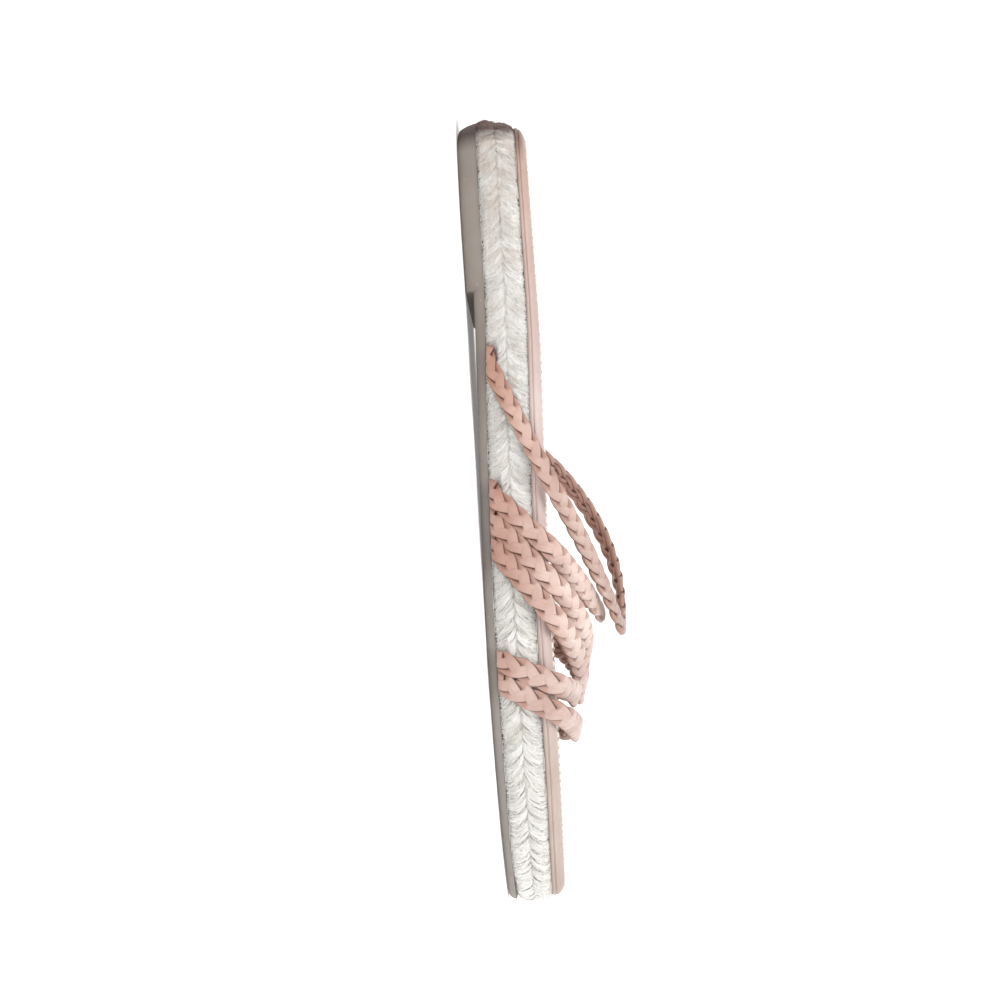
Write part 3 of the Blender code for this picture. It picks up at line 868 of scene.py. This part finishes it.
# The heel lift: the sole's outline behind a straight, slanting breast
def lift_points():
    share = 1 - np.cos(np.linspace(0, np.pi / 2, LIFT_STEPS + 1))
    inner_at, outer_at = share * LIFT_BREAST_INNER, share * LIFT_BREAST_OUTER
    proud = LIFT_PROUD * np.clip((1 - share) * LIFT_BREAST_OUTER / LIFT_FADE - 0.5, -0.5, 1)
    levels = np.linspace(0, 1, LIFT_LEVELS)
    outsets = table_value(LIFT_SIDE, "outset", levels, key="height")
    rings = []
    for level, outset in zip(levels, outsets):
        inner, _ = side_points(1, inner_at, outset + proud + tip_reach(inner_at, OUTSOLE_REACH, level))
        outer, _ = side_points(-1, outer_at, outset + proud + tip_reach(outer_at, OUTSOLE_REACH, level))
        breast = outer[-1] + np.linspace(0, 1, BREAST_STEPS)[1:-1, None] * (inner[-1] - outer[-1])
        plan = np.vstack([inner, breast[::-1], outer[:0:-1]])
        rings.append(np.column_stack([plan, level * outsole_top(plan[:, 0])]))
    middle = np.array([LIFT_BREAST_OUTER / 2, HEEL_TIP_Y])
    caps = []
    for ring in (rings[0], rings[-1]):
        caps.append([np.column_stack([ring[:, :2] + t * (middle - ring[:, :2]), ring[:, 2]])
                     for t in LIFT_CAP_SHARES])
    rings = caps[0][::-1] + rings + caps[1]
    return np.vstack(rings), [ring_quads(len(rings), len(rings[0]))]


def join(meshes):
    points = []
    groups = []
    start = 0
    for part_points, part_groups in meshes:
        points.append(part_points)
        groups += [np.asarray(group) + start for group in part_groups]
        start += len(part_points)
    return np.vstack(points), groups


def make_outsole(rubber):
    points, faces = join([
        layer_points(OUTSOLE_SIDE, OUTSOLE_REACH, underside, outsole_top),
        lift_points(),
    ])
    make_piece("outsole_rubber", points, faces, rubber, ["outsole"])


def make_insole(leather):
    points, faces = layer_points(INSOLE_SIDE, INSOLE_REACH, insole_bottom, insole_top)
    make_piece("insole_cover", points, faces, leather, ["insole"])


# Capsule-shaped stitches along the insole's upper edge
def make_topstitch(thread):
    start = spaced_round(STITCH_PITCH)
    t = np.linspace(0, 1, STITCH_POINTS)
    lengths = start[:, None] + STITCH_LENGTH * t[None]
    plan, _ = round_points(lengths, STITCH_OUTSET, INSOLE_REACH, STITCH_SHARE)
    rise = STITCH_RADIUS * (STITCH_ARCH * np.sin(np.pi * t) - STITCH_SUNK)
    centres = on_layer(plan, insole_bottom, insole_top, STITCH_SHARE, rise)
    radii = np.tile(STITCH_RADIUS * np.sqrt(1 - (STITCH_ENDS * (t - 0.5)) ** 2), (len(start), 1))
    up = np.zeros_like(centres)
    up[..., 2] = 1
    points, faces = tube_mesh(centres, radii, up, STITCH_SIDES)
    make_piece("insole_topstitch", points, faces, thread)


# The rope wrap

# Fibres are pressed down where a strap lies on them
PRESS_HALF_WIDTH = 3.3
PRESS_FADE = 0.9
PRESS_BELOW = 1.45
PRESS_ENDS = (2.5, 5.5)  # distances from a strap's end where it begins to press and does so fully
NEAR_STRAP = 6.0
HOLE_AT = 3.3  # the painted shade of a hole lies on the rope this far along a tucked end
HOLE_HEIGHT = 0.6  # and this far above it
HOLE_RADIUS = 1.4
HOLE_DEPTH = 8.0
ROPE_EDGE = 0.05  # share of the rope's height that is dark with painted shade at its two edges


# Points of the strap paths, with the directions there, the distance from the strap's nearer end
# and the half width that presses
def strap_tree():
    frames = []
    for row in STRAPS:
        total = strap_length(row.name)
        at = np.linspace(0, total, int(total / PATH_STEP))
        centre, _, out, across = path_frames(PATHS[row.name], at)
        half_width = row.width * PRESS_HALF_WIDTH * taper(at, total)
        frames += zip(centre, out, across, np.minimum(at, total - at), half_width)
    tree = KDTree(len(frames))
    for i, strap_frame in enumerate(frames):
        tree.insert(strap_frame[0], i)
    tree.balance()
    return tree, frames


STRAP_TREE, STRAP_FRAMES = strap_tree()


# Where the straps' ends leave the rope, with a hole painted as shade beside each
STRAP_HOLES = []
for row in STRAPS:
    hole_places = np.array([HOLE_AT, strap_length(row.name) - HOLE_AT])
    STRAP_HOLES.extend(path_frames(PATHS[row.name], hole_places)[0])


# Moves points that would stand in a strap to just beneath it. Returns them and how far each
# point is under a strap or in the hole beside its end, from 0 to 1: the share of painted shade there.
def press_under_straps(points):
    flat = points.reshape(-1, 3)
    moved = flat.copy()
    painted_shade = np.zeros(len(flat))
    for i, point in enumerate(flat):
        _, index, distance = STRAP_TREE.find(point)
        if distance > NEAR_STRAP:
            continue
        centre, out, across, near_end, half_width = STRAP_FRAMES[index]
        height = (point - centre) @ out
        aside = abs((point - centre) @ across)
        share = share_between(aside, half_width + PRESS_FADE, half_width)
        share *= share_between(near_end, *PRESS_ENDS)
        if height > -PRESS_BELOW and share > 0:
            moved[i] = point - share * (height + PRESS_BELOW) * out
            painted_shade[i] = share
    for station, y, height in STRAP_HOLES:
        away = np.hypot(flat[:, 0] - station, flat[:, 2] - height - HOLE_HEIGHT)
        here = np.abs(flat[:, 1] - y) < HOLE_DEPTH
        dark = share_between(away, 1.5 * HOLE_RADIUS, 0.5 * HOLE_RADIUS)
        painted_shade = np.maximum(painted_shade, dark * here)
    return moved.reshape(points.shape), painted_shade.reshape(points.shape[:-1])


def make_core(rope):
    points, faces = layer_points(CORE_SIDE, ROPE_REACH, midsole_bottom, midsole_top)
    low = midsole_bottom(points[:, 0])
    share = share_between(points[:, 2], low, midsole_top(points[:, 0]))
    at_edge = share_between(np.abs(share - 0.5), 0.5 - ROPE_EDGE, 0.5)
    points, painted_shade = press_under_straps(points)
    attributes = {
        "tone": np.full(len(points), CORE_TONE),
        "painted_shade": np.maximum(painted_shade, CORE_EDGE_SHADE * at_edge),
    }
    make_piece("rope_core", points, faces, rope, ["midsole"], attributes)


# Fibres on the rope's side as thin tubes. Each has a row of distances round the sole, shares of the
# rope's height and distances off its core, a row of radii, and one tone.
def make_fibres(name, lengths, shares, lift, radii, tone, sides, rope):
    outset = table_value(CORE_SIDE, "outset", shares, key="height") + lift
    plan, normal = round_points(lengths, outset, ROPE_REACH, shares)
    normals = np.concatenate([normal, np.zeros(lengths.shape + (1,))], axis=-1)
    centres, painted_shade = press_under_straps(on_layer(plan, midsole_bottom, midsole_top, shares))
    points, faces = tube_mesh(centres, np.broadcast_to(radii, lengths.shape), normals, sides)
    attributes = {
        "tone": np.repeat(tone, lengths.shape[1] * sides),
        "painted_shade": np.repeat(painted_shade.ravel(), sides),
    }
    make_piece(name, points, faces, rope, (), attributes)


# One row of locks; way is 1 for the row above the middle seam and -1 for the one below it
def make_lock_row(name, way, rope, random):
    lock_at = spaced_round(LOCK_PITCH)
    locks = len(lock_at)
    count = locks * FIBRES_PER_LOCK
    lock = np.repeat(np.arange(locks), FIBRES_PER_LOCK)
    station = np.interp(lock_at, ROUND_LENGTHS, ROUND_CLOSED[:, 0])
    loose = share_between(station, *LOOSENING)
    lock_start = random.normal(0, 0.35, locks)
    lock_lean = LOCK_LEAN * random.normal(1, 0.2, locks)
    lock_bulge = LOCK_BULGE * random.uniform(0.5, 1.4, locks) * (FELTED_BULGE + LOOSE_BULGE * loose)
    lock_tone = random.normal(0, 0.08, locks)
    t = np.linspace(0, 1, FIBRE_POINTS)[None]
    beside = random.uniform(-1, 1, count)[:, None]
    twist = random.normal(0, 0.6, count)[:, None]
    place = np.clip(beside + twist * (t - 0.5), -LOCK_REACH, LOCK_REACH)
    fan = LOCK_PITCH / 2 * (0.75 + 0.65 * t)
    lean = (lock_lean[lock] * random.normal(1, 0.14, count))[:, None] * (1 - (1 - t) ** 1.5)
    wander = LOCK_JITTER * random.normal(0, 0.35, (count, FIBRE_POINTS)).cumsum(axis=1) * t
    lengths = (lock + lock_start[lock])[:, None] * PERIMETER / locks - lean + fan * place + wander
    reach = random.normal(1.0, 0.06, count)[:, None]
    shares = 0.5 + way * np.minimum(FIBRE_LENGTH * (t ** 1.15) * reach - 0.01, 0.5 + EDGE_REACH)
    crown = np.sqrt(1 - (place / CROWN_REACH) ** 2) * np.sin(np.pi * (t * 0.9 + 0.08)) ** 0.6
    lift = lock_bulge[lock][:, None] * crown + random.normal(0.12, 0.1, (count, 1))
    radii = random.uniform(*FIBRE_RADIUS, (count, 1)) * (1 - FIBRE_TAPER * t ** 3)
    tone = FIBRE_TONE + lock_tone[lock] + random.normal(0, 0.17, count)
    # Painted light and shade: paler on a lock's crown, darker at its sides
    tone = np.clip(tone + CROWN_TONE * (crown.mean(axis=1) - 0.5), 0, 1)
    make_fibres(name, lengths, shares, lift, radii, tone, FIBRE_SIDES, rope)


# Threads that run along the middle seam and twist round each other
def make_seam(rope, random):
    at = np.linspace(0, PERIMETER, int(PERIMETER / SEAM_STEP))
    threads = []
    for k in range(SEAM_THREADS):
        turn = 2 * np.pi * (at / SEAM_TWIST + k / SEAM_THREADS)
        shares = 0.5 + 0.014 * np.sin(turn) + soft_wave(random, at, *SEAM_RISE_WAVE)
        lift = -0.1 + 0.2 * np.cos(turn) + soft_wave(random, at, *SEAM_LIFT_WAVE)
        threads.append((at, shares, lift))
    lengths, shares, lift = np.stack(threads, axis=1)
    tone = np.full(SEAM_THREADS, SEAM_TONE)
    make_fibres("rope_seam", lengths, shares, lift, SEAM_RADIUS, tone, SEAM_SIDES, rope)


# Loose fibres over the rope: start, heading and length of each, and how far it stands off
def loose_fibres(name, share, length, heading, stand, radius, tone, rope, random):
    count = len(share)
    t = np.linspace(0, 1, FIBRE_POINTS)[None]
    start = random.uniform(0, PERIMETER, count)[:, None]
    curl = heading[:, None] + random.normal(0, 0.6, (count, 1)) * t
    lengths = start + length[:, None] * np.cos(curl) * t
    shares = share[:, None] + length[:, None] * np.sin(curl) * t / LOOSE_RISE
    shares = np.clip(shares, -EDGE_REACH, 1 + EDGE_REACH)
    lift = LOOSE_LIFT + stand[:, None] * np.sin(np.pi * t * 0.75)
    make_fibres(name, lengths, shares, lift, radius * (1 - 0.6 * t), tone, FIBRE_SIDES, rope)


# Hairs that stand off the rope
def make_hairs(rope, random):
    share = random.choice(HAIR_ROWS, HAIR_COUNT) + random.normal(0, 0.04, HAIR_COUNT)
    length = random.gamma(3.0, 1.3, HAIR_COUNT) + 1.5
    heading = random.uniform(-np.pi, np.pi, HAIR_COUNT)
    stand = random.gamma(2.0, 0.35, HAIR_COUNT)
    tone = random.uniform(0.6, 1, HAIR_COUNT)
    loose_fibres("rope_hairs", share, length, heading, stand, HAIR_RADIUS, tone, rope, random)


# Fuzz that lies on the locks, roughly along them, and blurs the lines between them
def make_fuzz(rope, random):
    share = random.uniform(0.05, 0.95, FUZZ_COUNT)
    length = random.uniform(1.5, 5.0, FUZZ_COUNT)
    way = np.sign(share - 0.5)
    heading = way * random.normal(2.4, 0.75, FUZZ_COUNT)
    stand = random.uniform(0.0, 0.3, FUZZ_COUNT)
    tone = np.clip(random.normal(0.62, 0.18, FUZZ_COUNT), 0, 1)
    loose_fibres("rope_fuzz", share, length, heading, stand, FUZZ_RADIUS, tone, rope, random)


# The braids

# Corners of a section between an ellipse and a box: its sides and heights, from -1 to 1
def rounded_ring(corners, squareness):
    turn = full_turn(corners)
    power = 2 / squareness
    side = np.sign(np.cos(turn)) * np.abs(np.cos(turn)) ** power
    rise = np.sign(np.sin(turn)) * np.abs(np.sin(turn)) ** power
    return side, rise


# Rings of a section along a line, from the offset of each corner to the side and outwards
def swept_rings(line, across, out, aside, outward):
    return line[:, None] + across[:, None] * aside[..., None] + out[:, None] * outward[..., None]


# Draws a strip's edge back to the braid's edge, where the strip folds over
def fold_back(aside, limit):
    start = limit - FOLD_SOFTNESS
    past = np.clip(np.abs(aside) - start, 0, None)
    drawn = np.minimum(np.abs(aside), start) + FOLD_SOFTNESS * (1 - np.exp(-past / FOLD_SOFTNESS))
    return np.sign(aside) * drawn


# The strips of one strap, with what their leather needs: the place on the strip, and how far a point
# is on a seam (cut edge and painted shade), under another strip (painted shade) and on the back
def make_braid(row, leather, random):
    total, braid_end, _ = strap_spans(row.name)
    at = np.linspace(GAP, braid_end - GAP, int(braid_end / STRAND_STEP))
    centre, _, out, across = path_frames(PATHS[row.name], at)
    narrow = row.width * taper(at, total)[:, None]
    side, rise = rounded_ring(STRAND_CORNERS, STRAND_SQUARENESS)
    on_top = share_between(out[:, 2], *FACES_UP)[:, None]
    parts, strips, edges, unders, backs = [], [], [], [], []
    for strand in range(STRANDS):
        phase = 2 * np.pi * (at / BRAID_PERIOD + strand / STRANDS)
        swing = STRAND_SWING * np.sin(phase) + soft_wave(random, at, *SWING_WAVE)
        over = -np.sin(2 * (phase - STRAND_DELAY))
        rise_of_line = STRAND_LIFT * over - STRAND_DOME * (swing / STRAND_SWING) ** 2
        line = centre + across * swing[:, None] * narrow + out * rise_of_line[:, None]
        ahead = unit(np.gradient(line, axis=0))
        tilt = (STRAND_TILT * np.sin(phase) * over)[:, None]
        face = square_to(out * np.cos(tilt) + across * np.sin(tilt), ahead)
        half_width = STRAND_HALF_WIDTH * narrow[:, 0] * (1 + soft_wave(random, at, *WIDTH_WAVE))
        half_thick = STRAND_HALF_THICKNESS * (1 + soft_wave(random, at, *THICKNESS_WAVE))
        points = swept_rings(line, np.cross(ahead, face), face,
                             half_width[:, None] * side, half_thick[:, None] * rise)
        aside = np.sum((points - centre[:, None]) * across[:, None], axis=2)
        folded = fold_back(aside, BRAID_HALF_WIDTH * narrow)
        points += across[:, None] * (folded - aside)[..., None]
        points[..., 2] = np.maximum(points[..., 2], outsole_top(points[..., 0]) + TUCK_SLIT)
        parts.append((points.reshape(-1, 3), closed_tube(len(at), STRAND_CORNERS)))
        on_strip = np.broadcast_arrays(at[:, None], side * STRAND_HALF_WIDTH, STRIP_APART * strand)
        strips.append(np.stack(on_strip, axis=-1).reshape(-1, 3))
        trailing = -np.sign(aside - swing[:, None] * narrow) * np.cos(phase)[:, None]
        seam = share_between(np.abs(folded), FOLD_EDGE * narrow, FOLD_EDGE * narrow - SEAM_FADE)
        seam = seam * share_between(trailing, *TRAILING)
        edges.append(np.abs(side) * seam - SEAM_LESS_ON_TOP * on_top)
        unders.append(np.repeat(np.clip(UNDER_SOON - 2 * over, 0, 1), STRAND_CORNERS))
        backs.append(np.tile(rise < 0, len(at)))
    points, faces = join(parts)
    attributes = {
        "strip": np.vstack(strips),
        "edge": np.ravel(edges),
        "under": np.ravel(unders),
        "back": np.ravel(backs),
        # Where the leather takes painted shade: the arch strap, which stands in the open
        "arch_painted_shade": np.full(len(points), float(row.name == "arch")),
    }
    name = "braid_" + row.name
    make_piece(name, points, faces, leather, [row.piece], attributes)


# A band swept along part of a strap's path with a rounded section
def band_mesh(path, at, half_width, half_thick, corners, squareness):
    centre, _, out, across = path_frames(path, at)
    side, rise = rounded_ring(corners, squareness)
    points = swept_rings(centre, across, out, half_width * side, half_thick * rise)
    return points.reshape(-1, 3), closed_tube(len(at), corners)


def make_elastic(row, leather, random):
    total, _, elastic_start = strap_spans(row.strap)
    at = np.linspace(elastic_start, total - GAP, int(row.elastic_length / ELASTIC_STEP))
    turn = full_turn(ELASTIC_CORNERS)
    ribs = at[:, None] / ELASTIC_RIB_PITCH + GATHER_SKEW * np.sin(2 * turn)[None]
    ripple = np.sin(2 * np.pi * (ribs + soft_wave(random, at, *GATHER_WAVE)[:, None]))
    narrow = (0.5 + 0.5 * taper(at, total))[:, None]
    half_width = (ELASTIC_HALF_WIDTH + ELASTIC_RIB * ripple) * narrow
    half_thick = ELASTIC_HALF_THICKNESS + ELASTIC_RIB * ripple
    points, faces = band_mesh(PATHS[row.strap], at, half_width, half_thick,
                              ELASTIC_CORNERS, ELASTIC_SQUARENESS)
    fold_shade = np.clip(0.5 - 0.5 * ripple, 0, 1).ravel()
    make_piece(row.prefix + "_gathers", points, faces, leather,
               [row.prefix + "_elastic"], {"edge": fold_shade})


def make_sleeve(row, leather):
    _, sleeve_start, elastic_start = strap_spans(row.strap)
    at = np.linspace(sleeve_start, elastic_start - GAP, int(row.sleeve_length / SLEEVE_STEP))
    inside = np.minimum(at - at[0], at[-1] - at)
    rounded = SLEEVE_END + (1 - SLEEVE_END) * share_between(inside, 0, SLEEVE_ROUNDING) ** 0.5
    half_width = (SLEEVE_HALF_WIDTH * rounded)[:, None]
    half_thick = (SLEEVE_HALF_THICKNESS * rounded)[:, None]
    points, faces = band_mesh(PATHS[row.strap], at, half_width, half_thick,
                              SLEEVE_CORNERS, SLEEVE_SQUARENESS)
    along = np.repeat(at, SLEEVE_CORNERS)
    strip = np.column_stack([along, np.zeros(len(points)), np.full(len(points), SLEEVE_APART)])
    edge = np.repeat(share_between(inside, SLEEVE_DARK_END, 0) * SLEEVE_DARKNESS, SLEEVE_CORNERS)
    make_piece(row.prefix + "_stitched_sleeve", points, faces, leather,
               [row.prefix + "_sleeve"], {"strip": strip, "edge": edge})


# Floor, light and camera

def make_floor():
    radius, turn_radius, wall, sides = 1.6, 0.5, 1.1, 96
    profile = [(0.0, 0.0), (0.4, 0.0), (radius - turn_radius, 0.0)]
    for angle in np.linspace(0, np.pi / 2, 12)[1:]:
        profile.append((radius - turn_radius + turn_radius * np.sin(angle),
                        turn_radius * (1 - np.cos(angle))))
    profile.append((radius, wall))
    turn = full_turn(sides)
    rings = []
    for out, height in profile:
        rings.append(np.column_stack([out * np.cos(turn), out * np.sin(turn), np.full(sides, height)]))
    mesh = bpy.data.meshes.new("floor")
    mesh.from_pydata(np.vstack(rings).tolist(), [], ring_quads(len(rings), sides).tolist())
    mesh.validate()
    mesh.shade_smooth()
    look = Surface("floor_paper", 0.9, Emission_Color=(1, 1, 1, 1), Emission_Strength=0.17)
    base = look.ramp(look.noise(60, 3), [(0.3, "fafaf9"), (0.7, "fdfdfc")])
    mesh.materials.append(look.finish(base))
    floor = add_object("floor", mesh)


def area_light(name, place, size, watts):
    light = bpy.data.lights.new(name, "AREA")
    light.size = size
    light.energy = watts
    made = add_object(name, light)
    made.location = place
    made.rotation_euler = (-Vector(place)).to_track_quat("-Z", "Y").to_euler()


def make_lights():
    area_light("key", (0.15, -0.5, 1.25), 0.9, 10.5)
    area_light("fill", (0.2, -1.1, 0.35), 1.2, 1.2)
    area_light("back", (0.2, 0.9, 0.9), 1.0, 2.6)
    world = bpy.data.worlds.new("studio")
    world.use_nodes = True
    background = world.node_tree.nodes["Background"]
    background.inputs["Color"].default_value = (1, 1, 1, 1)
    background.inputs["Strength"].default_value = 0.52
    bpy.context.scene.world = world


# Level side view of the standing shoe, rolled so that the heel points up in the picture
CAMERA_STATION = 122.2
CAMERA_HEIGHT = 22.0
CAMERA_DISTANCE = 550.0
CAMERA_ROLL_DEG = 3.8
FOCAL_PIXELS = 1718.0
PICTURE_PIXELS = 1000.0
AXIS_PIXEL_X = 551.0  # where the level line of sight meets the picture
SENSOR = 36.0


def make_camera():
    roll = np.radians(CAMERA_ROLL_DEG)
    aim = np.arctan2(AXIS_PIXEL_X - PICTURE_PIXELS / 2, FOCAL_PIXELS)
    right = Vector((np.sin(roll), 0, np.cos(roll)))
    up = Vector((-np.cos(roll), 0, np.sin(roll)))
    forward = Vector((0, 1, 0))
    aimed_forward = forward * np.cos(aim) - right * np.sin(aim)
    aimed_right = right * np.cos(aim) + forward * np.sin(aim)
    data = bpy.data.cameras.new("camera")
    data.sensor_width = SENSOR
    data.lens = SENSOR * FOCAL_PIXELS / PICTURE_PIXELS
    data.clip_start = 0.01
    camera = add_object("camera", data)
    turned = Matrix((aimed_right, up, -aimed_forward)).transposed().to_4x4()
    place = (np.array([CAMERA_STATION, -CAMERA_DISTANCE, CAMERA_HEIGHT]) + SHIFT) * MM
    camera.matrix_world = Matrix.Translation(Vector(place)) @ turned
    bpy.context.scene.camera = camera


def build():
    random = np.random.default_rng(SEED)
    bpy.context.scene.view_settings.view_transform = "Standard"
    rubber = moulded_rubber()
    cover = cover_leather()
    strips = strip_leather()
    gathers = gathered_leather()
    thread = sewing_thread()
    # A copy of the fibre material darkened with painted shade, for the core
    core_rope = rope_fibre("rope_core", 0.25)
    rope = rope_fibre("rope_fibre", 0.0)

    make_outsole(rubber)
    make_core(core_rope)
    make_lock_row("rope_locks_upper", 1, rope, random)
    make_lock_row("rope_locks_lower", -1, rope, random)
    make_seam(rope, random)
    make_fuzz(rope, random)
    make_hairs(rope, random)
    make_insole(cover)
    make_topstitch(thread)
    for row in STRAPS:
        make_braid(row, strips, random)
    for row in ELASTICS:
        make_elastic(row, gathers, random)
        make_sleeve(row, strips)
    make_floor()
    make_lights()
    make_camera()


build()
